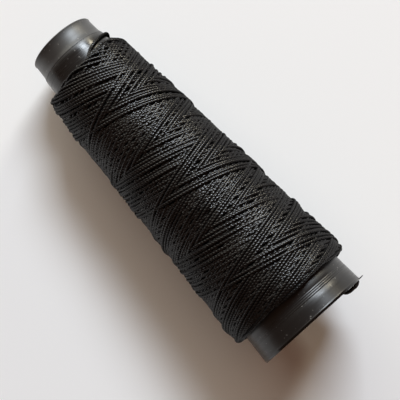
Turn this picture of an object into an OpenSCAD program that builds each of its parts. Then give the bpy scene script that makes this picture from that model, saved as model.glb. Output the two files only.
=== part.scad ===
// A tapered plastic tube, cross-wound with one length of thick twisted thread.
// It lies on the flank of its package: +Z is up, the table is z = 0, and the axis
// runs from the narrow end towards +X, rising by the package's taper.
// Every piece is drawn about its own axis first: u runs along the axis from the narrow
// rim, r is the distance from the axis, and turn angles start at the lowest line of the
// flank and grow towards +Y.

/* [Tube] */
// Length of the tube from the narrow rim to the wide rim
tube_len = 112; // [106:1:125]
// Outer radius of the tube at the wide rim
wide_rad = 18.2; // [17.6:0.1:18.3]
// Outer radius of the tube body just behind the nose shoulder
shoulder_rad = 11.3; // [11:0.1:11.6]
// Outer radius of the nose collar at the narrow rim
nose_rad = 10.5; // [10.2:0.1:10.7]
// Length of the nose collar
nose_len = 5.4; // [4:0.2:6]
// Length of the sloping shoulder between the nose collar and the body
shoulder_len = 0.9; // [0.5:0.1:1.2]
// Wall thickness of the tube body
wall = 1.3; // [1:0.1:1.8]
// Rounding of the rim edges
rim_round = 0.3; // [0.1:0.05:0.45]
// Height of the bead around the narrow rim
bead_height = 0.2; // [0.1:0.05:0.4]
// Length of the bead around the narrow rim
bead_len = 0.7; // [0.6:0.1:1.2]

/* [Nose bore] */
// Radius of the straight bore inside the nose, which a spindle fits
bore_rad = 9.1; // [8:0.1:9.4]
// Length of the straight bore, measured from the narrow rim
bore_len = 5; // [3:0.2:6]

/* [Turned rings] */
// Number of fine rings cut around the bare tube behind the package
ring_count = 4; // [2:1:6]
// Distance from the package to the first ring
ring_first = 1.9; // [1:0.1:3]
// Spacing of the rings
ring_step = 0.6; // [0.4:0.1:0.8]
// Width of one ring
ring_width = 0.3; // [0.2:0.05:0.35]
// Depth of one ring
ring_depth = 0.08; // [0.05:0.01:0.15]

/* [Package] */
// Distance from the narrow rim to the start of the package
pack_start = 10.2; // [9.8:0.1:12]
// Bare tube left between the package and the wide rim
wide_bare = 9.2; // [8:0.1:12]
// Thickness of the inner layers at their narrow end
inner_narrow = 0.34; // [0.3:0.02:1]
// Thickness of the inner layers at their wide end
inner_wide = 0.9; // [0.6:0.05:1.4]
// Clearance between the tube and the inner layers
seat_gap = 0.05; // [0:0.01:0.1]
// Clearance between the inner layers and the outer turns
lay_gap = 0.05; // [0.02:0.01:0.15]

/* [Thread] */
// Diameter of the thread
thread_d = 1.1; // [0.9:0.05:1.15]
// Clear gap between the two levels of outer turns
level_gap = 0.42; // [0.42:0.01:0.46]
// Traverses of the outer turns from one end to the other
traverses = 8; // [4:2:8]
// Whole turns in a traverse, to which most of another is added
whole_turns = 2; // [1:1:2]
// Distance from each end of the package to the centre of its last turns
edge_inset = 0.6; // [0.6:0.05:1.2]
// How far one reversal has slipped off the narrow end
slip_len = 3.1; // [1:0.1:3.2]

/* [Hidden] */

round_fn = 96;         // facets of the turned pieces
ring_angle = 15;       // turn angle between two rings of the swept thread
cord_sides = 6;        // sides of the outer turns
tail_sides = 8;        // sides of the free tail
start_slot = 97.5;     // turn angle of the wide-end slot at which the outer turns begin
round_span = 15;       // turn angle on each side of a reversal that is rounded
climb_span = 35;       // turn angle on each side of a reversal in which the level changes
slip_span = 45;        // turn angle on each side of the slipped reversal that hangs free
start_bend = 2.2;      // radius of the bend from the tail into the first turn
finish_bend = 1;       // radius of the bend from the last turn down to the inner layers
bend_steps = 5;        // rings in each of these bends
skip_rings = 8;        // nearest neighbours left out when an end's gap is measured

// tube
body_start = nose_len + shoulder_len;
tube_slope = (wide_rad - shoulder_rad) / (tube_len - body_start);
function tube_rad(u) = wide_rad - tube_slope * (tube_len - u);
nose_end_rad = nose_rad + tube_slope * nose_len;

// levels of the outer turns, which are hexagons with a flat side towards the axis
half_flat = thread_d / 2 * cos(180 / cord_sides);
level_step = thread_d + level_gap;
chord_dip = (wide_rad + 3 * thread_d) * (1 - cos(ring_angle / 2));
under_turns = 2 * half_flat + level_step + chord_dip + lay_gap;

// package: the inner layers on the tube, and the outer turns on them
pack_end = tube_len - wide_bare;
pack_len = pack_end - pack_start;
pack_narrow_rad = tube_rad(pack_start) + seat_gap + inner_narrow + under_turns;
pack_wide_rad = tube_rad(pack_end) + seat_gap + inner_wide + under_turns;
pack_slope = (pack_wide_rad - pack_narrow_rad) / pack_len;
function pack_rad(u) = pack_narrow_rad + pack_slope * (u - pack_start);
function level_rad(u, level) = pack_rad(u) - half_flat - (1 - level) * level_step;

// attitude on the table, and the shift that puts the origin under the middle
flat_cut = thread_d / 10;
tilt = atan(pack_slope * cos(ring_angle / 2));
lift = pack_rad(0) * cos(ring_angle / 2) * cos(tilt) - flat_cut;
mid_x = (tube_len * cos(tilt) + (wide_rad - nose_rad) * sin(tilt)) / 2;

// course of the outer turns: seen along the path, the turn angle always falls
slots = traverses / 2;
traverse_angle = 360 * (whole_turns + 1 - 1 / (2 * slots));
reach = pack_len - 2 * edge_inset;
pitch = reach / (traverse_angle - round_span);
wide_corner = pack_end - edge_inset + pitch * round_span / 2;
narrow_corner = pack_start + edge_inset - pitch * round_span / 2;
first_ring = 3;
last_ring = traverses * traverse_angle / ring_angle + 1;
loops = (last_ring - first_ring) * ring_angle / 360;

function smooth(x) = let (c = min(max(x, 0), 1)) c * c * (3 - 2 * c);
function rounded(x) = x < round_span ? (x * x + round_span * round_span) / (2 * round_span) : x;

// nearest reversal and the signed angle past it, for a travelled angle
function reversal(psi) = min(round(psi / traverse_angle), traverses);
function past(psi) = psi - reversal(psi) * traverse_angle;
function held(psi) = reversal(psi) == traverses ? min(past(psi), 0) : past(psi);
function slip(psi) =
    let (x = abs(past(psi)) / slip_span)
    reversal(psi) == 1 && x < 1 ? cos(90 * x) ^ 2 : 0;
function run_u(psi) =
    let (v = pitch * rounded(abs(held(psi))))
    reversal(psi) % 2 == 0 ? wide_corner - v : narrow_corner + v - slip_len * slip(psi);
function run_level(psi) =
    let (n = reversal(psi), x = smooth((past(psi) + climb_span) / (2 * climb_span)))
    n == 0 ? 0 : n == traverses ? 1 : n % 2 == 1 ? x : 1 - x;
function run_rad(psi) =
    let (u = run_u(psi), on_tube = tube_rad(u) + lay_gap + chord_dip + half_flat)
    level_rad(u, run_level(psi)) * (1 - slip(psi) ^ 2) + on_tube * slip(psi) ^ 2;

// vectors about the spool's own axis, and their place in the frame
function outward(a) = [cos(a), sin(a), 0];
function around(a) = [-sin(a), cos(a), 0];
function at(u, r, a) = r * outward(a) + [0, 0, u];
function leaned(v) = [v.x * sin(tilt) + v.z * cos(tilt), v.y, v.z * sin(tilt) - v.x * cos(tilt)];
function placed(p) = leaned(p) + [-mid_x, 0, lift];
function unit(v) = v / norm(v);

// a station is [point, normal hint]; a tube is swept through a list of them
function station(u, r, a) = [at(u, r, a), outward(a)];

// first bend: from the axial direction of the tail into the helix
helix_angle = atan(pitch * 360 / (2 * PI * level_rad(pack_end, 0)));
bend_angle = 90 - helix_angle;
run_start = first_ring * ring_angle;
start_u = run_u(run_start) + start_bend * sin(bend_angle) + thread_d;
start_rad = level_rad(run_u(run_start), 0);
start_turn = start_slot - run_start + start_bend * (1 - cos(bend_angle)) / start_rad * 180 / PI;
start_stations = [
    for (k = [0:1]) station(start_u - k * thread_d / 2, start_rad, start_turn),
    for (k = [0:bend_steps - 1])
        let (b = bend_angle * k / bend_steps)
        station(
            start_u - thread_d - start_bend * sin(b),
            start_rad,
            start_turn - start_bend * (1 - cos(b)) / start_rad * 180 / PI
        )
];

// the turns themselves
run_stations = [
    for (i = [first_ring:last_ring])
        let (psi = i * ring_angle)
        station(run_u(psi), run_rad(psi), start_slot - psi)
];

// last bend: from the hoop direction straight down to the inner layers
finish_psi = last_ring * ring_angle;
finish_turn = start_slot - finish_psi;
finish_point = at(run_u(finish_psi), run_rad(finish_psi), finish_turn);
finish_drop = under_turns - half_flat - finish_bend - lay_gap;
finish_stations = [
    for (k = [1:bend_steps])
        let (b = 90 * k / bend_steps, out = outward(finish_turn), on = -around(finish_turn))
        [
            finish_point + finish_bend * (sin(b) * on - (1 - cos(b)) * out),
            sin(b) * on + cos(b) * out
        ],
    for (k = [1:2])
        let (out = outward(finish_turn), on = -around(finish_turn))
        [finish_point + finish_bend * (on - out) - finish_drop * k / 2 * out, on]
];
winding_stations = concat(start_stations, run_stations, finish_stations);

// free tail: [u past the wide rim, thread diameters clear of the tube's face, turn angle], first
// over its outer face to the rim, then under its inner face
tail_outside = [
    [-9.02, 1.33, 57.5], [-8.14, 1.35, 58.4], [-7.36, 1.26, 59.8], [-6.68, 1.13, 61.7], [-6.07, 1.01, 63.8],
    [-5.47, 0.88, 66], [-4.83, 0.75, 68], [-4.1, 0.63, 69.8], [-3.27, 0.6, 71], [-2.36, 0.63, 71.4],
    [-1.45, 0.73, 70.9], [-0.64, 0.76, 69.6], [0.02, 0.66, 67.7], [0.48, 0.4, 65.3], [0.71, 0, 62.9]
];
tail_inside = [
    [0.72, -0.69, 60.5], [0.72, -0.18, 58.1], [0.63, 0.29, 55.5], [0.3, 0.59, 52.7], [-0.28, 0.7, 50.2],
    [-1.02, 0.69, 48.3], [-1.87, 0.63, 46.9], [-2.77, 0.62, 46.1], [-3.69, 0.62, 45.8], [-4.61, 0.62, 45.7],
    [-5.53, 0.62, 45.8], [-6.45, 0.62, 45.9], [-7.37, 0.62, 46], [-8.29, 0.62, 46.1], [-9.21, 0.62, 46],
    [-10.13, 0.62, 45.9], [-11.05, 0.62, 45.9], [-11.97, 0.62, 45.9], [-12.89, 0.62, 46.2], [-13.81, 0.56, 46.6],
    [-14.7, 0.56, 47.4]
];
function tail_station(p, face_rad) = [at(tube_len + p[0], face_rad, p[2]), around(p[2])];
tail_stations = [
    [at(start_u, start_rad, start_turn), around(start_turn)],
    for (p = tail_outside) tail_station(p, tube_rad(tube_len + p[0]) + p[1] * thread_d),
    for (p = tail_inside) tail_station(p, tube_rad(tube_len + p[0]) - wall - p[1] * thread_d)
];

// sweeping: rings of points square to the path, joined by triangles
function heading(s, i) =
    let (n = len(s) - 1)
    unit(s[min(i + 1, n)][0] - s[max(i - 1, 0)][0]);
function ring_points(s, i, sides) =
    let (
        t = heading(s, i),
        n = unit(s[i][1] - (s[i][1] * t) * t),
        b = cross(t, n)
    )
    [
        for (k = [0:sides - 1])
            let (a = 360 * (k + 0.5) / sides)
            s[i][0] + thread_d / 2 * (cos(a) * n + sin(a) * b)
    ];
function side_faces(rings, sides) = [
    for (i = [0:rings - 2], k = [0:sides - 1])
        let (a = i * sides + k, b = i * sides + (k + 1) % sides)
        each [[a, a + sides, b], [b, a + sides, b + sides]]
];
function cap_faces(first, sides, turned) = [
    for (k = [1:sides - 2])
        turned ? [first, first + k + 1, first + k] : [first, first + k, first + k + 1]
];

// least gap of the outer turns to themselves
per_turn = 360 / ring_angle;
function flat_offset(i, j) =
    let (p = run_stations[i][0], q = run_stations[j][0])
    [p.z - q.z, norm([p.x, p.y]) - norm([q.x, q.y])];
function approach(a, b) =
    let (d = b - a, t = min(max(-(a * d) / (d * d), 0), 1))
    norm(a + t * d);
run_gap = min([
    for (i = [0:len(run_stations) - per_turn - 2], j = [i + per_turn:per_turn:len(run_stations) - 2])
        approach(flat_offset(i, j), flat_offset(i + 1, j + 1))
]) - thread_d;
end_gap = min([
    for (s = start_stations, i = [skip_rings:len(run_stations) - 1]) norm(s[0] - run_stations[i][0]),
    for (s = finish_stations, i = [0:len(run_stations) - 1 - skip_rings]) norm(s[0] - run_stations[i][0])
]) - thread_d;
echo(str("outer winding: ", loops, " loops, least gap to itself ", min(run_gap, end_gap), " mm"));
tail_steps = [for (i = [1:len(tail_stations) - 1]) norm(tail_stations[i][0] - tail_stations[i - 1][0])];
tail_length = tail_steps * [for (s = tail_steps) 1];
echo(str("free tail: ", tail_length, " mm long"));

// shared modules
module turned() {
    translate([-mid_x, 0, lift])
        rotate([0, 90 - tilt, 0])
            rotate_extrude($fn = round_fn)
                children();
}

module swept(stations, sides, floor_z) {
    rings = len(stations);
    points = [
        for (i = [0:rings - 1])
            each [
                for (p = ring_points(stations, i, sides))
                    let (q = placed(p))
                    [q.x, q.y, max(q.z, floor_z)]
            ]
    ];
    faces = concat(
        cap_faces(0, sides, false),
        side_faces(rings, sides),
        cap_faces((rings - 1) * sides, sides, true)
    );
    polyhedron(points = points, faces = faces);
}

// sub-parts
module cone_tube() {
    bead_slope = bead_len - rim_round;
    ring_starts = [for (k = [0:ring_count - 1]) pack_end + ring_first + k * ring_step];
    color([0.13, 0.13, 0.13])
        turned()
            polygon([
                [bore_rad, 0],
                [nose_rad + bead_height - rim_round, 0],
                [nose_rad + bead_height, rim_round],
                [nose_rad + tube_slope * bead_len, rim_round + bead_slope],
                [nose_end_rad, nose_len],
                [shoulder_rad, body_start],
                for (u = ring_starts) each [
                    [tube_rad(u), u],
                    [tube_rad(u + ring_width / 2) - ring_depth, u + ring_width / 2],
                    [tube_rad(u + ring_width), u + ring_width]
                ],
                [tube_rad(tube_len - rim_round), tube_len - rim_round],
                [wide_rad - rim_round, tube_len],
                [wide_rad - wall + rim_round, tube_len],
                [tube_rad(tube_len - rim_round) - wall, tube_len - rim_round],
                [shoulder_rad - wall, body_start],
                [bore_rad, bore_len]
            ]);
}

module inner_layers() {
    color([0.05, 0.05, 0.055])
        turned()
            polygon([
                [tube_rad(pack_start) + seat_gap, pack_start],
                [pack_rad(pack_start) - under_turns, pack_start],
                [pack_rad(pack_end) - under_turns, pack_end],
                [tube_rad(pack_end) + seat_gap, pack_end]
            ]);
}

module outer_winding() {
    color([0.08, 0.08, 0.085])
        swept(winding_stations, cord_sides, 0);
}

module start_tail() {
    color([0.08, 0.08, 0.085])
        swept(tail_stations, tail_sides, 0);
}

cone_tube();
inner_layers();
outer_winding();
start_tail();
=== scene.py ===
import math
import bpy
import numpy as np
from mathutils import Matrix, Vector


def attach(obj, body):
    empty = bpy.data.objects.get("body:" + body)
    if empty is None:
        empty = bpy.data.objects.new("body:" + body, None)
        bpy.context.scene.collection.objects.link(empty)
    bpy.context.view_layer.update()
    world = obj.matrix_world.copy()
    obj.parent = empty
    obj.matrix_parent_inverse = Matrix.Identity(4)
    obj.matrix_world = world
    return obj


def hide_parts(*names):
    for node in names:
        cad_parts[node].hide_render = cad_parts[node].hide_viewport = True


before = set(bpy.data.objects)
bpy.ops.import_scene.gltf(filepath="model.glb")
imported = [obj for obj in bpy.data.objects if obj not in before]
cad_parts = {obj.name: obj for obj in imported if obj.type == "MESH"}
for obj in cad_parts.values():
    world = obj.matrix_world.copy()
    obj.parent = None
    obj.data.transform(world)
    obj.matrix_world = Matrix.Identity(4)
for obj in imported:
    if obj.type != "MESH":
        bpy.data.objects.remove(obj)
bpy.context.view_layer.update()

print("frame loaded:", len(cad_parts), "nodes")

# The spool lies on its flank. u runs along its axis from the narrow rim, r is the distance from the
# axis, and turn is the angle from the lowest line towards +Y, in mm and degrees.
mm = 0.001
spool = {
    "length": 112.0,
    "wideRadius": 18.2,
    "shoulderRadius": 11.3,
    "bodyStart": 6.3,                # u of the shoulder, where the taper begins
    "wall": 1.3,
    "tilt": math.radians(4.045017),  # the axis rises this much towards the wide end
    "lift": 13.660114,               # height of the axis at the narrow rim
    "middle": 56.13208,              # from the narrow rim to the middle of the frame
}


def tubeRadius(u):
    slope = (spool["wideRadius"] - spool["shoulderRadius"]) / (spool["length"] - spool["bodyStart"])
    return spool["wideRadius"] - slope * (spool["length"] - u)


def leaned(u, side, height):
    # from the spool's own axes to the frame, in metres
    c, s = math.cos(spool["tilt"]), math.sin(spool["tilt"])
    x = u * c - height * s - spool["middle"]
    z = u * s + height * c + spool["lift"]
    return np.stack(np.broadcast_arrays(x, side, z), axis=-1) * mm


def shift(u, side=0.0):
    # a move along the axis and sideways, in the frame
    return leaned(u, side, 0.0) - leaned(0.0, 0.0, 0.0)


def onSpool(u, r, turn):
    a = np.radians(turn)
    return leaned(u, r * np.sin(a), -r * np.cos(a))


def outwardAt(turn):
    # unit vectors square to the axis, away from it
    a = np.radians(turn)
    c, s = math.cos(spool["tilt"]), math.sin(spool["tilt"])
    return np.stack([np.cos(a) * s, np.sin(a), -np.cos(a) * c], axis=-1)


def unit(v):
    return v / np.linalg.norm(v, axis=-1, keepdims=True)


# camera, placed by u, side and height over the axis
view = {
    "from": (111.75, 0.0, 366.34),
    "towards": (63.49, -0.794, 0.0),
    "upTurn": 2.4108,     # radians from the axis to the way that is up in the view
    "lens": 112.855,
    "sensor": 36.0,
    "clip": (0.01, 20.0),
}


def setCamera():
    place = Vector(leaned(*view["from"]))
    forward = (Vector(leaned(*view["towards"])) - place).normalized()
    up = Vector(shift(math.cos(view["upTurn"]), math.sin(view["upTurn"])))
    right = forward.cross(up).normalized()
    up = right.cross(forward)
    bpy.ops.object.camera_add(location=place)
    camera = bpy.context.object
    camera.name = "camera"
    turned = Matrix((right, up, -forward)).transposed().to_4x4()
    camera.matrix_world = Matrix.Translation(place) @ turned
    camera.data.lens = view["lens"]
    camera.data.sensor_width = view["sensor"]
    camera.data.clip_start, camera.data.clip_end = view["clip"]
    bpy.context.scene.camera = camera


setCamera()
print("camera set")


# one length of twisted thread as a mesh: three plies, drawn with vertices that follow the twist
thread = {
    "diameter": 1.1,
    "laid": 1.13,              # width of a strand pressed among others
    "flat": 0.94,              # height as a share of the width
    "lead": 2.9,               # mm of thread to one full twist
    "plies": 3,
    # the vertices of one ply: degrees round from its crest, share of the radius
    "ply": [(0, 1.0), (38, 0.985), (60, 0.82), (82, 0.985)],
    "grooveBelow": 0.9,        # share of the radius under which a vertex lies in a groove
    # painted shade in the ply grooves: the share of colour and sheen kept at a vertex there
    "grooveShaded": 0.05,
    "freeFrom": (0.58, 0.98),  # cosine from the open side at which a vertex lies in full painted shade, and at which it is unshaded
    "mapFill": (0.999, 0.96),  # share of its place on the folded map that a face and a row take up
    "mapEnds": 0.9995,         # where both end faces lie on that map
    "ringsPerPiece": 7900,
}


def ringFrames(centres, outward):
    tangent = np.empty_like(centres)
    tangent[1:-1] = centres[2:] - centres[:-2]
    tangent[0] = centres[1] - centres[0]
    tangent[-1] = centres[-1] - centres[-2]
    tangent = unit(tangent)
    normal = unit(outward - tangent * np.sum(outward * tangent, axis=-1, keepdims=True))
    return normal, np.cross(tangent, normal)


def meshFromArrays(name, points, quads, caps, uvs, free):
    mesh = bpy.data.meshes.new(name)
    corners = np.concatenate([quads.ravel()] + [np.asarray(c) for c in caps])
    starts = np.concatenate([
        np.arange(len(quads)) * 4,
        len(quads) * 4 + np.cumsum([0] + [len(c) for c in caps[:-1]]),
    ])
    mesh.vertices.add(len(points))
    mesh.vertices.foreach_set("co", points.astype(np.float32).ravel())
    mesh.loops.add(len(corners))
    mesh.loops.foreach_set("vertex_index", corners.astype(np.int32))
    mesh.polygons.add(len(starts))
    mesh.polygons.foreach_set("loop_start", starts.astype(np.int32))
    for label, values in uvs.items():
        layer = mesh.uv_layers.new(name=label)
        layer.data.foreach_set("uv", values.astype(np.float32).ravel())
    mesh.update(calc_edges=True)
    mesh.polygons.foreach_set("use_smooth", np.ones(len(starts), dtype=bool))
    mesh.attributes.new("free", "FLOAT", "POINT").data.foreach_set("value", free.astype(np.float32))
    mesh.validate()
    piece = bpy.data.objects.new(name, mesh)
    bpy.context.collection.objects.link(piece)
    return piece


def mapCorners(left, right, low, high):
    corners = [(left, low), (left, high), (right, high), (right, low)]
    return np.stack([np.stack(corner, -1) for corner in corners], axis=1).reshape(-1, 2)


def threadPiece(name, centres, outward, along, width, clear=None):
    # centres in metres, along in mm of thread; clear is the way that each ring's open side faces,
    # and is left out for a loose length
    around, share = np.array(thread["ply"]).T
    sides = thread["plies"] * len(around)
    rings = len(centres)
    normal, sideways = ringFrames(centres, outward)
    steps = np.arange(sides)
    vertexAt = (np.resize(around, sides) + 360 / thread["plies"] * (steps // len(around))) / 360
    angle = 2 * np.pi * (vertexAt[None, :] + along[:, None] / thread["lead"])
    lobe = np.resize(share, sides)[None, :] * width[:, None] * mm / 2
    high = (np.cos(angle) * lobe * thread["flat"])[..., None] * normal[:, None, :]
    wide = (np.sin(angle) * lobe)[..., None] * sideways[:, None, :]
    points = (centres[:, None, :] + high + wide).reshape(-1, 3)
    points[:, 2] = np.maximum(points[:, 2], 0.0)

    # how open each vertex lies: below 1 it is painted shade on the hidden sides and in the ply grooves,
    # which darkens the colour and the sheen
    free = np.ones_like(angle)
    if clear is not None:
        shadedAt, freeAt = thread["freeFrom"]
        facing = np.arctan2(np.sum(clear * sideways, axis=-1), np.sum(clear * normal, axis=-1))
        free = np.clip((np.cos(angle - facing[:, None]) - shadedAt) / (freeAt - shadedAt), 0, 1)
    groove = np.where(share < thread["grooveBelow"], thread["grooveShaded"], 1.0)
    free = (free * np.resize(groove, sides)[None, :]).ravel()

    ring = np.arange(rings - 1)[:, None] * sides
    here, there = ring + steps, ring + (steps + 1) % sides
    quads = np.stack([here, there, there + sides, here + sides], axis=-1).reshape(-1, 4)
    first = list(range(sides - 1, -1, -1))
    last = list(range((rings - 1) * sides, rings * sides))

    # one map along the thread, and one that folds the thread into rows for a texture
    i = np.repeat(np.arange(rings - 1), sides)
    m = np.tile(steps, rings - 1)
    strand = mapCorners(along[i], along[i + 1], m / sides, (m + 1) / sides)
    perRow = max(1, int(math.sqrt(sides * rings)))
    rows = (rings - 1) // perRow + 1
    faceFill, rowFill = thread["mapFill"]
    left = (i % perRow) / perRow
    low = (i // perRow + rowFill * m / sides) / rows
    high = (i // perRow + rowFill * (m + 1) / sides) / rows
    folded = mapCorners(left, left + faceFill / perRow, low, high)
    uvs = {
        "strand": np.concatenate([strand, np.zeros((2 * sides, 2))]),
        "OFBake": np.concatenate([folded, np.full((2 * sides, 2), thread["mapEnds"])]),
    }
    return meshFromArrays(name, points, quads, [first, last], uvs, free)


def lengthAlong(points):
    return np.concatenate([[0], np.cumsum(np.linalg.norm(np.diff(points, axis=0), axis=1))])


def smoothRoute(points, step, fine=12):
    # a Catmull-Rom line through the points, resampled evenly
    p = np.vstack([2 * points[0] - points[1], points, 2 * points[-1] - points[-2]])
    t = np.linspace(0, 1, fine, endpoint=False)[:, None]
    parts = []
    for a, b, c, d in zip(p[:-3], p[1:-2], p[2:-1], p[3:]):
        square, cube = 2 * a - 5 * b + 4 * c - d, 3 * b - a - 3 * c + d
        parts.append(0.5 * (2 * b + (c - a) * t + square * t**2 + cube * t**3))
    line = np.vstack(parts + [points[-1:]])
    gone = lengthAlong(line)
    even = np.linspace(0, gone[-1], max(2, int(round(gone[-1] / step)) + 1))
    return np.stack([np.interp(even, gone, line[:, k]) for k in range(line.shape[1])], axis=-1), even


# the free tail: over the wide rim and back along the inside of the tube
tail = {
    "start": (102.07, 18.97, 57.43),   # u, radius and turn
    # mm past the wide rim, thread diameters clear of the tube's face, turn
    "outside": [
        (-9.02, 1.33, 57.5), (-8.14, 1.35, 58.4), (-7.36, 1.26, 59.8), (-6.68, 1.13, 61.7),
        (-6.07, 1.01, 63.8), (-5.47, 0.88, 66), (-4.83, 0.75, 68), (-4.1, 0.63, 69.8),
        (-3.27, 0.6, 71), (-2.36, 0.63, 71.4), (-1.45, 0.73, 70.9), (-0.64, 0.76, 69.6),
        (0.02, 0.66, 67.7), (0.48, 0.4, 65.3), (0.71, 0, 62.9),
    ],
    "inside": [
        (0.72, -0.69, 60.5), (0.72, -0.18, 58.1), (0.63, 0.29, 55.5), (0.3, 0.59, 52.7),
        (-0.28, 0.7, 50.2), (-1.02, 0.69, 48.3), (-1.87, 0.63, 46.9), (-2.77, 0.62, 46.1),
        (-3.69, 0.62, 45.8), (-4.61, 0.62, 45.7), (-5.53, 0.62, 45.8), (-6.45, 0.62, 45.9),
        (-7.37, 0.62, 46), (-8.29, 0.62, 46.1), (-9.21, 0.62, 46), (-10.13, 0.62, 45.9),
        (-11.05, 0.62, 45.9), (-11.97, 0.62, 45.9), (-12.89, 0.62, 46.2), (-13.81, 0.56, 46.6),
        (-14.7, 0.56, 47.4),
    ],
    "width": 1.1,
    # the plies are slack at the rim: mm along, mm to each side, the width there, mm nearer the rim
    "atRim": (13.9, 3.0, 1.38, 0.12),
    "facing": [(0, 57.4), (6, 70), (12, 46)],   # mm along, turn that its upper side faces
    "step": 0.3,
    "pathEvery": 3,
}


def tailRoute():
    stations = [tail["start"]]
    for past, clear, turn in tail["outside"]:
        u = spool["length"] + past
        stations.append((u, tubeRadius(u) + clear * tail["width"], turn))
    for past, clear, turn in tail["inside"]:
        u = spool["length"] + past
        stations.append((u, tubeRadius(u) - spool["wall"] - clear * tail["width"], turn))
    line, gone = smoothRoute(onSpool(*np.array(stations).T) / mm, tail["step"])
    return line * mm, gone


def makeTail():
    line, gone = tailRoute()
    facingAt, facing = np.array(tail["facing"]).T
    outward = outwardAt(np.interp(gone, facingAt, facing))
    middle, reach, spread, nearer = tail["atRim"]
    slack = np.exp(-((gone - middle) / reach) ** 2)
    width = tail["width"] + (spread - tail["width"]) * slack
    line = line + slack[:, None] * shift(-nearer)
    piece = threadPiece("threadTail", line, outward, gone, width)
    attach(piece, "root")
    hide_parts("start_tail")
    print("tail laid:", round(float(gone[-1]), 2), "mm")
    return piece


threadTail = makeTail()


# a short fibre caught on the wide rim
fibre = {
    # u, radius and turn
    "route": [
        (111.72, 18.0, 97), (111.74, 18.35, 96.2), (111.74, 18.75, 95.5),
        (111.72, 19.15, 94.8), (111.7, 19.5, 94.2),
    ],
    "width": 0.44,
    "tip": 0.55,       # width at the tip, as a share
    "facing": 180.0,
    "step": 0.15,
}


def makeFibre():
    line, gone = smoothRoute(onSpool(*np.array(fibre["route"]).T) / mm, fibre["step"])
    outward = np.tile(outwardAt(np.array(fibre["facing"])), (len(line), 1))
    width = np.interp(gone, [0, gone[-1]], [fibre["width"], fibre["tip"] * fibre["width"]])
    piece = threadPiece("looseFibre", line * mm, outward, gone, width)
    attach(piece, "root")
    return piece


looseFibre = makeFibre()


# the package: one thread laid crosswise from end to end, over and under itself
winding = {
    "seed": 11,
    "covers": 2,                   # complete covers of the tube
    "neighbours": 26,              # strands side by side in one direction in a cover
    "turns": 3,                    # turns from one end to the other
    "lastTurn": 50.0,              # where the last strand would meet the wide end
    "wideCorner": 103.6,           # u of the reversals
    "narrowCorner": 14.0,
    "narrowDraw": (215, 60, 1.5),  # the narrow edge is drawn in: round this turn, over so much, by mm
    "quicken": (30.0, 3.4, 1.5),   # steeper below this u, to end this much further out; power
    "edgeGive": (1.2, 0.9),        # how far reversals stray inwards, wide and narrow end
    "giveStep": (0.6180339, 0.13, 1.5),  # share from one reversal to the next, random share, power
    "rounding": (34, 12, 60),      # degrees to each side of a wide and a narrow reversal, u between them
    "stray": (0.035, 55),          # mm and degrees, slow sideways wander of a strand
    "offset": (0.05, 20),          # mm of unevenness between strands, degrees over which it comes in

    # reversals that have slipped off the narrow end, and how far they keep in
    "slipped": {47: 0.3, 49: 2.3},
    # degrees from a slipped reversal, u
    "slip": [
        (0, 7.1), (15, 7.3), (45, 8.4), (60, 9.3), (70, 10.1), (78, 11.1), (113, 19.7), (130, 24.2),
    ],
    "slipEase": 5,
    # it lies loose: mm off the others, and degrees from its reversal
    "slipLoose": {"lift": 0.3, "from": 45, "to": 128, "rise": 18, "blend": 12, "drawn": 130},

    # the pile is worked out on a map of heights, one row for each degree
    "mapFrom": 3.0,
    "mapTo": 108,
    "cell": 0.15,
    "strandHalf": 0.60,            # half the width of a strand there, in mm
    "reach": 3,                    # cells that it covers to each side of its own
    "layHeight": 0.83,             # mm that one strand adds where it crosses another
    "pathOff": 1.5,                # mm off the tube at which lengths are measured
    "pull": (40, 30),              # degrees past each end of a traverse over which it is pulled taut
    "held": 90,                    # degrees of a traverse that go on the map only after the next one
    "pileLevel": (75, 9),          # percentile taken as the pile's height, cells it is smoothed over
    "pressed": (0.1, 0.3, 1.3),    # mm of pile at least, least and most that it is scaled by
    "level": (0.52, 0.18),         # mm, deepest dip and highest rise kept against the outline
    "liftEase": 2,

    # rings stand at every degree where a strand can be seen, and are sparse elsewhere
    "seenWithin": 0.10,            # mm under the top of the pile
    "seenPast": (15.5, 99.3),      # all is seen below the first u and above the second
    "seenMargin": 4,
    "sparse": 6,

    # u, mm out all round, mm further out towards -Y
    "swell": [
        (13, 0.55, -0.1), (21, 0.85, 0.25), (27, 0.9, 0.4), (33, 0.7, 0.3), (39, 0.5, 0.25),
        (46, 0.36, -0.18), (57, 0.42, -0.2), (64, 0.48, 0.18), (70, 0.05, 0.2), (76, 0.18, -0.05),
        (88, 0.08, 0.05), (93, 0.32, 0.18), (100, 0.18, -0.05),
    ],
    # u and outside radius of the package at its two ends
    "outline": [
        (8.6, 11.95), (9.4, 12.1), (10.2, 12.6), (12.7, 14.83),
        (99.5, 21.05), (101.0, 20.9), (102.1, 20.35), (102.8, 19.5), (103.3, 18.8),
    ],

    # turn, u and radius where the outer end runs round the edge of the package
    "outerEnd": [
        (0, 99.2, 20.8), (14, 99.8, 20.85), (30, 100.1, 20.85), (42, 100.3, 20.8),
        (49, 100.5, 20.65), (54, 100.7, 20.3), (58, 100.8, 19.75), (61, 100.9, 19.2),
    ],
    "outerRun": (11, 20.0),        # degrees it runs on, degrees over which it leaves its course
    "firstBend": 2.2,              # mm, from the tail into the first turn
    # mm over which the first turn's course, radius and width come in, and over which all is drawn
    "fromTail": {"course": 12.0, "radius": 9.0, "width": 6.0, "drawn": 15},
    "uneven": (0.02, 25),          # share and degrees by which the width wanders
    "stout": [(18, 1.06), (42, 1.0)],   # u, share of the width
    # u, lean of the open side towards the wide end
    "endsLean": [(12.5, -1.6), (16.5, -0.3), (19.0, 0.0), (98.0, 0.0), (100.5, 0.3), (102.8, 1.6)],
}


def smoothStep(t):
    return t * t * (3 - 2 * t)


def smoothNoise(rng, count, span):
    knots = rng.standard_normal(int(count / span) + 4)
    x = np.arange(count) / span
    i = x.astype(int)
    t = smoothStep(x - i)
    return knots[i] * (1 - t) + knots[i + 1] * t


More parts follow.
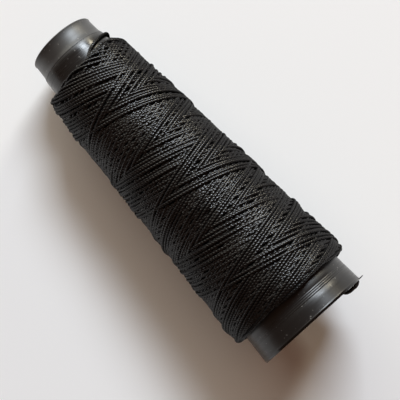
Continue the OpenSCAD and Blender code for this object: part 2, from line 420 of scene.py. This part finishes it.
def boxFilter(values, half):
    padded = np.concatenate([np.full(half, values[0]), values, np.full(half, values[-1])])
    total = np.concatenate([[0.0], np.cumsum(padded)])
    return (total[2 * half + 1:] - total[:-2 * half - 1]) / (2 * half + 1)


def drawnIn(turn):
    at, over, most = winding["narrowDraw"]
    off = (turn - at + 180) % 360 - 180
    return most * math.exp(-(off / over) ** 2)


def windingCourse():
    # index k is the angle in degrees back from the thread's outer end, so turn = lastTurn - k
    rng = np.random.default_rng(winding["seed"])
    span = 360 * winding["turns"] + 180 / winding["neighbours"]
    traverses = 2 * winding["covers"] * winding["neighbours"]
    count = int(traverses * span - (tail["start"][2] - winding["lastTurn"]))
    wideGive, narrowGive = winding["edgeGive"]
    giveStep, chance, givePower = winding["giveStep"]
    ends = []
    for i in range(traverses + 1):
        give = ((i * giveStep + chance * rng.random()) % 1.0) ** givePower
        if i % 2 == 0:
            ends.append(winding["wideCorner"] - wideGive * give)
        else:
            draw = drawnIn(winding["lastTurn"] - i * span)
            ends.append(winding["narrowCorner"] + draw + narrowGive * give)
    corners = np.arange(traverses + 1) * span
    k = np.arange(count)
    u = np.interp(k, corners, ends)
    offset, offsetEase = winding["offset"]
    shifts = rng.standard_normal(traverses + 2) * offset
    u = u + boxFilter(shifts[(k // span).astype(int)], offsetEase)
    edge, further, power = winding["quicken"]
    u = u - further * np.clip((edge - u) / (edge - winding["narrowCorner"]), 0, None) ** power
    wideRound, narrowRound, parting = winding["rounding"]
    u = np.where(u > parting, boxFilter(u, wideRound), boxFilter(u, narrowRound))
    stray, strayOver = winding["stray"]
    u = u + stray * smoothNoise(rng, count, strayOver)

    slipAt, slipU = np.array(winding["slip"]).T
    for i, inwards in winding["slipped"].items():
        x = np.abs(k - corners[i])
        leg = boxFilter(np.interp(x, slipAt, slipU) + inwards, winding["slipEase"])
        u = np.where((x < slipAt[-1]) & (leg < u), leg, u)
    return u, corners, rng


def tautHeights(need, x, lift):
    # upper hull of the heights with the round of the package taken off: a thread pulled tight
    y = need - lift
    hull = []
    for i in range(len(x)):
        while len(hull) > 1:
            a, b = hull[-2], hull[-1]
            if (y[b] - y[a]) * (x[i] - x[a]) <= (y[i] - y[a]) * (x[b] - x[a]):
                hull.pop()
            else:
                break
        hull.append(i)
    return np.interp(x, x[hull], y[hull]) + lift


def pileUp(u, corners):
    # lay the traverses from the inner end outwards, each pulled taut over what lies under it
    count = len(u)
    cell = winding["cell"]
    ground = np.zeros((360, int((winding["mapTo"] - winding["mapFrom"]) / cell)))
    half = winding["layHeight"] / 2
    reach = np.arange(-winding["reach"], winding["reach"] + 1)
    profile = half * np.sqrt(1 - (reach * cell / winding["strandHalf"]) ** 2)
    row = np.rint((u - winding["mapFrom"]) / cell).astype(int)
    height = np.zeros(count)
    radius = tubeRadius(u) + winding["pathOff"]
    degree = radius * math.pi / 180
    step = np.hypot(degree, np.gradient(u))

    def cells(k, across=reach):
        return (k % 360)[:, None], row[k][:, None] + across[None, :]

    def stamp(low, high):
        k = np.arange(low, high)
        np.maximum.at(ground, cells(k), height[k][:, None] + profile[None, :])

    held = None
    for i in range(len(corners) - 2, -1, -1):
        low, high = int(corners[i]), min(int(corners[i + 1]), count)
        if low >= count:
            continue
        ahead, behind = max(0, low - winding["pull"][0]), min(count, high + winding["pull"][1])
        seq = np.arange(behind - 1, ahead - 1, -1)
        need = np.max(ground[cells(seq)] + profile[None, :], axis=1)
        need = np.maximum(need, half)
        laid = seq >= high
        need[laid] = height[seq[laid]]
        bendRadius = radius[seq] * (step[seq] / degree[seq]) ** 2
        fall = np.cumsum(np.cumsum(step[seq] / bendRadius) * step[seq])
        taut = tautHeights(need, np.cumsum(step[seq]), fall)
        mine = (seq >= low) & (seq < high)
        height[seq[mine]] = taut[mine]
        if held is not None:
            stamp(*held)
        holdFrom = min(low + winding["held"], high)
        stamp(holdFrom, high)
        held = (low, holdFrom)
    stamp(*held)

    top = height[:, None] + profile[None, 1:-1]
    seen = np.any(top > ground[cells(np.arange(count), reach[1:-1])] - winding["seenWithin"], axis=1)
    return height, ground, seen


def layWinding():
    u, corners, rng = windingCourse()
    height, ground, seen = pileUp(u, corners)

    # bring the pile to the package's own outline, and press it level
    centre = winding["mapFrom"] + np.arange(ground.shape[1]) * winding["cell"]
    percent, smooth = winding["pileLevel"]
    pile = np.percentile(ground, percent, axis=0) - winding["layHeight"] / 2
    pile = np.convolve(np.pad(pile, smooth // 2, mode="edge"), np.ones(smooth) / smooth, mode="valid")
    edgeU, edgeR = np.array(winding["outline"]).T
    thick = thread["diameter"] * thread["flat"] / 2
    target = np.maximum(np.interp(centre, edgeU, edgeR) - tubeRadius(centre) - thick, thick)
    leastPile, leastScale, mostScale = winding["pressed"]
    scale = np.clip(target / np.maximum(pile, leastPile), leastScale, mostScale)
    aim = np.interp(u, centre, target)
    over = height * np.interp(u, centre, scale) - aim
    dip, rise = winding["level"]
    lift = aim + np.where(over > 0, rise * np.tanh(over / (2 * rise)), dip * np.tanh(over / dip))
    k = np.arange(len(u))
    turned = np.radians(winding["lastTurn"] - k)
    swellU, swellAll, swellSide = np.array(winding["swell"]).T
    swell = np.interp(u, swellU, swellAll) - np.interp(u, swellU, swellSide) * np.sin(turned)
    swell *= (1 - np.cos(turned)) / 2
    lift = np.maximum(boxFilter(lift, winding["liftEase"]), thick) + swell

    narrowSeen, wideSeen = winding["seenPast"]
    seen |= (u < narrowSeen) | (u > wideSeen)
    near = boxFilter(seen.astype(float), winding["seenMargin"]) > 0
    loose = winding["slipLoose"]
    for i in winding["slipped"]:
        x = np.abs(k - corners[i])
        off = np.clip(np.minimum(x - loose["from"], loose["to"] - x) / loose["rise"], 0, 1)
        onTop = np.maximum(aim, thick) + loose["lift"] * off
        share = np.clip((loose["to"] - x) / loose["blend"], 0, 1)
        lift = np.where(x < loose["to"], lift + (onTop - lift) * share, lift)
        near |= x < loose["drawn"]
    return u, tubeRadius(u) + lift, near, rng


def finishEnds(u, r, near):
    # the outer end runs round the edge of the package and in between its neighbours
    endAt, endU, endR = np.array(winding["outerEnd"]).T
    extra, over = winding["outerRun"]
    turn = winding["lastTurn"] - np.arange(-extra, len(u))
    u, r = np.pad(u, (extra, 0), mode="edge"), np.pad(r, (extra, 0), mode="edge")
    near = np.pad(near, (extra, 0), constant_values=True)
    share = np.where(turn > 0, np.clip(turn / over, 0, 1), 0)
    u += (np.interp(turn, endAt, endU) - u) * share
    r += (np.interp(turn, endAt, endR) - r) * share

    # the inner end bends towards the rim, into the tail
    startU, startR, startTurn = tail["start"]
    turn = np.append(turn, turn[-1] - (turn[-1] - startTurn) % 360)
    u, r, near = np.append(u, startU), np.append(r, startR), np.append(near, True)
    going = np.radians(turn - turn[-1]) * startR
    bend, over = winding["firstBend"], winding["fromTail"]
    arc = startU - np.sqrt(np.maximum(bend**2 - (bend - np.minimum(going, bend)) ** 2, 0))
    last = going < over["drawn"]
    share = smoothStep(np.clip(1 - (going - bend) / over["course"], 0, 1))
    u[last] += (arc - u)[last] * share[last]
    share = np.clip(1 - going / over["radius"], 0, 1)
    r[last] += (startR - r)[last] * share[last]
    return u, r, turn, near | last


def makeWinding():
    u, r, near, rng = layWinding()
    u, r, turn, near = finishEnds(u, r, near)
    centres = onSpool(u, r, turn)
    along = lengthAlong(centres) / mm
    along -= along[-1]
    uneven, unevenOver = winding["uneven"]
    stoutU, stout = np.array(winding["stout"]).T
    width = thread["laid"] * (1 + uneven * smoothNoise(rng, len(u), unevenOver))
    width *= np.interp(u, stoutU, stout)
    width += (tail["width"] - width) * np.clip(1 + along / winding["fromTail"]["width"], 0, 1)
    keep = near | (np.arange(len(u)) % winding["sparse"] == 0)
    keep[-1] = True
    index = np.flatnonzero(keep)
    outward = outwardAt(turn)
    leanU, lean = np.array(winding["endsLean"]).T
    clear = outward + np.interp(u, leanU, lean)[:, None] * shift(1.0) / mm

    total = max(1, math.ceil((len(index) - 1) / thread["ringsPerPiece"]))
    size = math.ceil((len(index) - 1) / total)
    pieces = []
    for n in range(total):
        part = index[n * size:(n + 1) * size + 1]
        rings = [values[part] for values in (centres, outward, along, width, clear)]
        pieces.append(threadPiece(f"threadTurns{n + 1}", *rings))
    print("winding laid:", round(-along[0] / 1000, 2), "m in", len(index), "rings and", total, "pieces")
    return pieces


threadTurns = makeWinding()
for n, piece in enumerate(threadTurns):
    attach(piece, "root")
    if n == 0:
        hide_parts("outer_winding", "inner_layers")


# the turns next to the tube, seen under the package at its two ends
innerTurns = {
    "seed": 5,
    # turns gone, u, and mm from the tube to the middle of the thread
    "wide": [(0, 97.6, 0.54), (4.1, 102.0, 0.54), (4.35, 101.45, 1.38), (7.9, 97.7, 1.42)],
    "narrow": [(0, 17.6, 0.54), (4.3, 12.9, 0.54), (4.55, 13.4, 1.38), (8.0, 17.2, 1.42)],
    "lean": {"wide": 1.6, "narrow": -1.6},   # of the open side towards the wide end
    "degrees": 1.5,                          # from ring to ring
    "ease": 20,                              # rings over which a bend is rounded
    "stray": (0.10, 45),                     # mm and rings, slow wander
}


def makeInnerTurns(end):
    gone, atU, off = np.array(innerTurns[end]).T
    turn = np.arange(0, gone[-1] * 360, innerTurns["degrees"])
    rng = np.random.default_rng(innerTurns["seed"])
    stray, strayOver = innerTurns["stray"]
    u = boxFilter(np.interp(turn / 360, gone, atU), innerTurns["ease"])
    u = u + stray * smoothNoise(rng, len(turn), strayOver)
    r = tubeRadius(u) + boxFilter(np.interp(turn / 360, gone, off), innerTurns["ease"])
    centres = onSpool(u, r, -turn)
    outward = outwardAt(-turn)
    along = lengthAlong(centres) / mm
    width = np.full(len(u), thread["laid"])
    clear = outward + innerTurns["lean"][end] * shift(1.0) / mm
    piece = threadPiece(f"innerTurns{end.capitalize()}", centres, outward, along, width, clear)
    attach(piece, "root")
    return piece


bedTurns = [makeInnerTurns("wide"), makeInnerTurns("narrow")]
print("inner turns laid")


# materials
noiseEnds = (0.3, 0.7)    # nearly all of a noise lies between these


def newMaterial(name):
    material = bpy.data.materials.new(name)
    material.use_nodes = True
    tree = material.node_tree
    tree.nodes.clear()
    shader = tree.nodes.new("ShaderNodeBsdfPrincipled")
    output = tree.nodes.new("ShaderNodeOutputMaterial")
    tree.links.new(shader.outputs["BSDF"], output.inputs["Surface"])
    return material, tree, shader


def setSockets(tree, node, values):
    # an output is linked to its socket, and anything else is the socket's plain value
    for socket, value in values.items():
        if isinstance(value, bpy.types.NodeSocket):
            tree.links.new(value, node.inputs[socket])
        else:
            node.inputs[socket].default_value = value


def addMapping(tree, vector, change, value):
    node = tree.nodes.new("ShaderNodeMapping")
    setSockets(tree, node, {"Vector": vector, change: value})
    return node.outputs["Vector"]


def addNoise(tree, vector, scale, detail):
    node = tree.nodes.new("ShaderNodeTexNoise")
    setSockets(tree, node, {"Vector": vector, "Scale": scale, "Detail": detail})
    return node.outputs["Fac"]


def addRange(tree, value, fromEnds, toEnds=(0.0, 1.0)):
    node = tree.nodes.new("ShaderNodeMapRange")
    setSockets(tree, node, {
        "Value": value, "From Min": fromEnds[0], "From Max": fromEnds[1],
        "To Min": toEnds[0], "To Max": toEnds[1],
    })
    return node.outputs["Result"]


def addMix(tree, share, under, over):
    node = tree.nodes.new("ShaderNodeMix")
    node.data_type = "RGBA"
    setSockets(tree, node, {"Factor": share, "A": under, "B": over})
    return node.outputs["Result"]


def addMath(tree, operation, *values):
    node = tree.nodes.new("ShaderNodeMath")
    node.operation = operation
    setSockets(tree, node, dict(enumerate(values)))
    return node.outputs["Value"]


def addBump(tree, height, strength, distance):
    node = tree.nodes.new("ShaderNodeBump")
    setSockets(tree, node, {"Height": height, "Strength": strength, "Distance": distance})
    return node.outputs["Normal"]


threadLook = {
    # colour is the darker fibre tone and also the painted shade on hidden sides and in the grooves;
    # light is the paler fibre tone on open sides
    "colour": (0.0046, 0.0043, 0.0044, 1.0),
    "light": (0.0088, 0.0082, 0.0084, 1.0),
    "stretch": (0.9, 26.0, 1.0),   # of the fibres, along the strand and round it
    "fibres": (1.6, 4.0),          # scale and detail
    "patches": (260.0, 2.0),
    "worn": (1.0, 0.85),           # share of the sheen from patch to patch
    "roughness": 0.6,
    "specular": 0.02,
    "sheenRoughness": 0.25,
    "sheenIor": 1.67,
    "bump": (0.15, 0.00004),       # strength, and height in metres
}


def threadMaterial():
    material, tree, shader = newMaterial("blackThread")
    uv = tree.nodes.new("ShaderNodeUVMap")
    uv.uv_map = "strand"
    place = addMapping(tree, uv.outputs["UV"], "Scale", threadLook["stretch"])
    fibres = addNoise(tree, place, *threadLook["fibres"])
    coords = tree.nodes.new("ShaderNodeTexCoord")
    patches = addNoise(tree, coords.outputs["Object"], *threadLook["patches"])
    # painted shade: colour and sheen are darkened on the hidden sides and in the grooves of each strand
    freeSide = tree.nodes.new("ShaderNodeAttribute")
    freeSide.attribute_name = "free"
    free = freeSide.outputs["Fac"]
    onTop = addMath(tree, "MULTIPLY", fibres, free)
    tone = addMix(tree, onTop, threadLook["colour"], threadLook["light"])
    worn = addRange(tree, patches, noiseEnds, threadLook["worn"])
    bump = addBump(tree, fibres, *threadLook["bump"])
    setSockets(tree, shader, {
        "Base Color": tone,
        "Roughness": threadLook["roughness"],
        "Specular IOR Level": threadLook["specular"],
        "Coat Weight": addMath(tree, "MULTIPLY", worn, free),
        "Coat Roughness": threadLook["sheenRoughness"],
        "Coat IOR": threadLook["sheenIor"],
        "Normal": bump,
        "Coat Normal": bump,
    })
    return material


blackThread = threadMaterial()
for piece in threadTurns + bedTurns + [threadTail, looseFibre]:
    piece.data.materials.append(blackThread)
print("thread dressed")


# the tube, turned from its profile
tube = {
    "segments": 192,
    # u and r from the rim of the bore, over the outside and back through the inside
    "outside": [
        (0.0, 9.4), (0.0, 10.42), (0.08, 10.6), (0.28, 10.7), (0.5, 10.66), (0.75, 10.56),
        (2.4, 10.66), (4.2, 10.79), (4.9, 10.89), (5.4, 11.01), (5.8, 11.14), (6.1, 11.23),
        (6.25, 11.26), (6.33, 11.19), (6.5, 11.19), (6.6, 11.3), (6.9, 11.34),
    ],
    "body": (9.0, 103.5, 24),              # u from and to, rings of vertices
    "rings": (104.7, 0.6, 4, 0.44, 0.055),  # turned rings: first u, step, count, width, depth
    # the wide rim stands up in a fine lip: u and mm off the face
    "lip": [(108.5, 0), (110.9, 0), (111.02, 0), (111.06, 0.01), (111.25, 0.09), (111.32, 0.09)],
    "lipDrop": 0.16,
    "rimRound": 0.3,
    "rimStep": 30,                         # degrees
    "bore": (110.5, 7.0, 22),
    "inside": [(6.3, 10.0), (5.6, 9.45), (5.0, 9.1), (0.3, 9.1), (0.08, 9.18)],
    "merge": 0.000002,
    "smoothAngle": 32,
}


def tubeProfile():
    points = list(tube["outside"])
    points += [(u, tubeRadius(u)) for u in np.linspace(*tube["body"])]
    start, step, count, width, depth = tube["rings"]
    for k in range(count):
        u = start + k * step
        points += [(u, tubeRadius(u)), (u + width / 2, tubeRadius(u) - depth)]
        points.append((u + width, tubeRadius(u + width)))
    end, bend, wall = spool["length"], tube["rimRound"], spool["wall"]
    points += [(u, tubeRadius(u) + off) for u, off in tube["lip"]]
    points.append((end, tubeRadius(end) - tube["lipDrop"]))
    for a in range(0, 91, tube["rimStep"]):
        s, c = math.sin(math.radians(a)), math.cos(math.radians(a))
        points.append((end - bend + bend * c, tubeRadius(end) - wall + bend - bend * s))
    points += [(u, tubeRadius(u) - wall) for u in np.linspace(*tube["bore"])]
    points += tube["inside"]
    return points


def makeTube():
    profile = tubeProfile()
    bpy.ops.object.select_all(action="DESELECT")
    bpy.ops.mesh.primitive_circle_add(
        vertices=tube["segments"], radius=profile[0][1] * mm, fill_type="NOTHING",
    )
    piece = bpy.context.object
    piece.name = piece.data.name = "coneTube"
    bpy.ops.object.mode_set(mode="EDIT")
    bpy.ops.mesh.select_all(action="SELECT")
    for (u0, r0), (u1, r1) in zip(profile[:-1], profile[1:]):
        bpy.ops.mesh.extrude_region_move(TRANSFORM_OT_translate={"value": (0, 0, (u1 - u0) * mm)})
        bpy.ops.transform.resize(value=(r1 / r0, r1 / r0, 1), center_override=(0, 0, 0))
    bpy.ops.mesh.select_all(action="SELECT")
    bpy.ops.object.mode_set(mode="OBJECT")
    return piece


def closeTube(piece):
    # join the last ring to the first, then stand the axis where the spool lies
    bpy.ops.object.mode_set(mode="EDIT")
    bpy.ops.mesh.select_all(action="DESELECT")
    bpy.ops.mesh.select_mode(type="EDGE")
    bpy.ops.mesh.select_non_manifold()
    bpy.ops.mesh.bridge_edge_loops()
    bpy.ops.mesh.select_all(action="SELECT")
    bpy.ops.mesh.remove_doubles(threshold=tube["merge"])
    bpy.ops.mesh.normals_make_consistent(inside=False)
    bpy.ops.object.mode_set(mode="OBJECT")
    piece.rotation_euler = (0, math.pi / 2 - spool["tilt"], 0)
    piece.location = Vector(leaned(0.0, 0.0, 0.0))
    bpy.ops.object.transform_apply(location=True, rotation=True, scale=True)
    bpy.ops.object.shade_smooth_by_angle(angle=math.radians(tube["smoothAngle"]))
    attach(piece, "root")
    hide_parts("cone_tube")


coneTube = makeTube()
closeTube(coneTube)
print("tube turned:", len(coneTube.data.polygons), "faces")

tubeLook = {
    "colour": (0.0085, 0.0080, 0.0078, 1.0),
    "worn": (0.0145, 0.0138, 0.0132, 1.0),
    "clouds": (120.0, 3.0),                # scale and detail of the wear
    "nose": (0.024, 0.0235, 0.0230, 1.0),  # the narrow end is handled smooth, and paler
    "noseFrom": (7.6, 6.3),                # u where that begins, and where it is full
    "noseRougher": 0.20,
    "noseSheen": 0.62,
    "noseSheenRoughness": 0.45,
    "dust": (0.16, 0.155, 0.145, 1.0),     # sparse light specks
    "dustGrain": (1300.0, 1.0),
    "dustFrom": (0.70, 0.78),
    "cut": (0.0022, 0.0021, 0.0021, 1.0),  # painted shade along the outer edge of the wide rim
    "cutFrom": (111.30, 111.40),
    "cutSmoother": 0.16,
    "roughness": (0.28, 0.40),
    "neckFrom": (8.0, 15.0),               # u over which the thread has kept the tube from wear
    "neckSmoother": 0.08,
    "latheStretch": (2400.0, 60.0, 60.0),  # fine turning marks, close along the axis
    "lathe": (1.0, 3.0),
    "bump": (0.12, 0.00003),
    "shine": 0.5,
}


def turnedRim():
    # where the narrow rim comes once the coordinates are turned back by the tilt
    rim = leaned(0.0, 0.0, 0.0)
    return float(rim[0] * math.cos(spool["tilt"]) + rim[2] * math.sin(spool["tilt"]))


def tubeMaterial():
    material, tree, shader = newMaterial("darkPlastic")
    coords = tree.nodes.new("ShaderNodeTexCoord")
    turned = addMapping(tree, coords.outputs["Object"], "Rotation", (0, spool["tilt"], 0))
    axis = tree.nodes.new("ShaderNodeSeparateXYZ")
    setSockets(tree, axis, {"Vector": turned})
    rim = turnedRim()

    def between(ends, toEnds=(0.0, 1.0)):
        return addRange(tree, axis.outputs["X"], [rim + u * mm for u in ends], toEnds)

    # colour: worn in clouds, paler at the nose, with dust, and painted shade along the wide rim's edge
    clouds = addNoise(tree, turned, *tubeLook["clouds"])
    tone = addMix(tree, clouds, tubeLook["colour"], tubeLook["worn"])
    nose = between(tubeLook["noseFrom"])
    tone = addMix(tree, nose, tone, tubeLook["nose"])
    specks = addRange(tree, addNoise(tree, turned, *tubeLook["dustGrain"]), tubeLook["dustFrom"])
    tone = addMix(tree, specks, tone, tubeLook["dust"])
    # painted shade: a dark band round the outer edge of the wide rim
    cut = between(tubeLook["cutFrom"])
    tone = addMix(tree, cut, tone, tubeLook["cut"])

    # roughness follows the turning marks and the same places
    stretched = addMapping(tree, turned, "Scale", tubeLook["latheStretch"])
    lathe = addNoise(tree, stretched, *tubeLook["lathe"])
    rough = addRange(tree, lathe, noiseEnds, tubeLook["roughness"])
    rough = addMath(tree, "MULTIPLY_ADD", nose, tubeLook["noseRougher"], rough)
    rough = addMath(tree, "ADD", rough, between(tubeLook["neckFrom"], (-tubeLook["neckSmoother"], 0.0)))
    rough = addMath(tree, "MULTIPLY_ADD", cut, -tubeLook["cutSmoother"], rough)

    setSockets(tree, shader, {
        "Base Color": tone,
        "Roughness": rough,
        "Specular IOR Level": tubeLook["shine"],
        "Coat Weight": addMath(tree, "MULTIPLY", nose, tubeLook["noseSheen"]),
        "Coat Roughness": tubeLook["noseSheenRoughness"],
        "Normal": addBump(tree, lathe, *tubeLook["bump"]),
    })
    return material


coneTube.data.materials.clear()
coneTube.data.materials.append(tubeMaterial())
print("tube dressed")


# floor and light
stage = {
    "floorSize": 3.0,
    "floorColour": (0.925, 0.925, 0.93, 1.0),
    "floorRoughness": 0.95,
    "floorShine": 0.05,
}


def makeFloor():
    bpy.ops.mesh.primitive_plane_add(size=stage["floorSize"])
    floor = bpy.context.object
    floor.name = "floor"
    material, tree, shader = newMaterial("paleBoard")
    setSockets(tree, shader, {
        "Base Color": stage["floorColour"],
        "Roughness": stage["floorRoughness"],
        "Specular IOR Level": stage["floorShine"],
    })
    floor.data.materials.append(material)


# the way each light comes from is its turn from +X and its height, in degrees;
# distance and size are in metres
lamps = {
    "window": {
        "from": (127, 38), "distance": 4.8, "size": (2.40, 1.18),
        "power": 224.0, "colour": (0.911, 1.0, 1.086),
    },
    "pane": {
        "from": (111, 16), "distance": 4.8, "size": (0.96, 0.68),
        "power": 62.0, "colour": (1.09, 1.0, 0.78),
    },
    "doorway": {
        "from": (170, 25), "distance": 4.8, "size": (4.48, 2.56),
        "power": 112.0, "colour": (1.015, 1.0, 0.868),
    },
}
room = {
    "fill": (0.139, 0.077, 0.050, 1.0),
    "seen": (0.97, 0.97, 0.96, 1.0),
}


def makeLamp(name, lamp):
    turn, rise = (math.radians(v) for v in lamp["from"])
    away = Vector((math.cos(rise) * math.cos(turn), math.cos(rise) * math.sin(turn), math.sin(rise)))
    bpy.ops.object.light_add(type="AREA", location=away * lamp["distance"])
    light = bpy.context.object
    light.name = name
    light.data.shape = "RECTANGLE"
    light.data.size, light.data.size_y = lamp["size"]
    light.data.energy = lamp["power"]
    light.data.color = lamp["colour"]
    light.rotation_euler = (-away).to_track_quat("-Z", "Y").to_euler()


def makeRoom():
    world = bpy.data.worlds.new("room")
    bpy.context.scene.world = world
    world.use_nodes = True
    tree = world.node_tree
    tree.nodes.clear()
    path = tree.nodes.new("ShaderNodeLightPath")
    fill = tree.nodes.new("ShaderNodeBackground")
    seen = tree.nodes.new("ShaderNodeBackground")
    mix = tree.nodes.new("ShaderNodeMixShader")
    output = tree.nodes.new("ShaderNodeOutputWorld")
    setSockets(tree, fill, {"Color": room["fill"]})
    setSockets(tree, seen, {"Color": room["seen"]})
    setSockets(tree, mix, {
        "Fac": path.outputs["Is Camera Ray"],
        1: fill.outputs["Background"],
        2: seen.outputs["Background"],
    })
    setSockets(tree, output, {"Surface": mix.outputs["Shader"]})


makeFloor()
for name, lamp in lamps.items():
    makeLamp(name, lamp)
makeRoom()
bpy.context.scene.view_settings.view_transform = "Standard"
print("stage set")
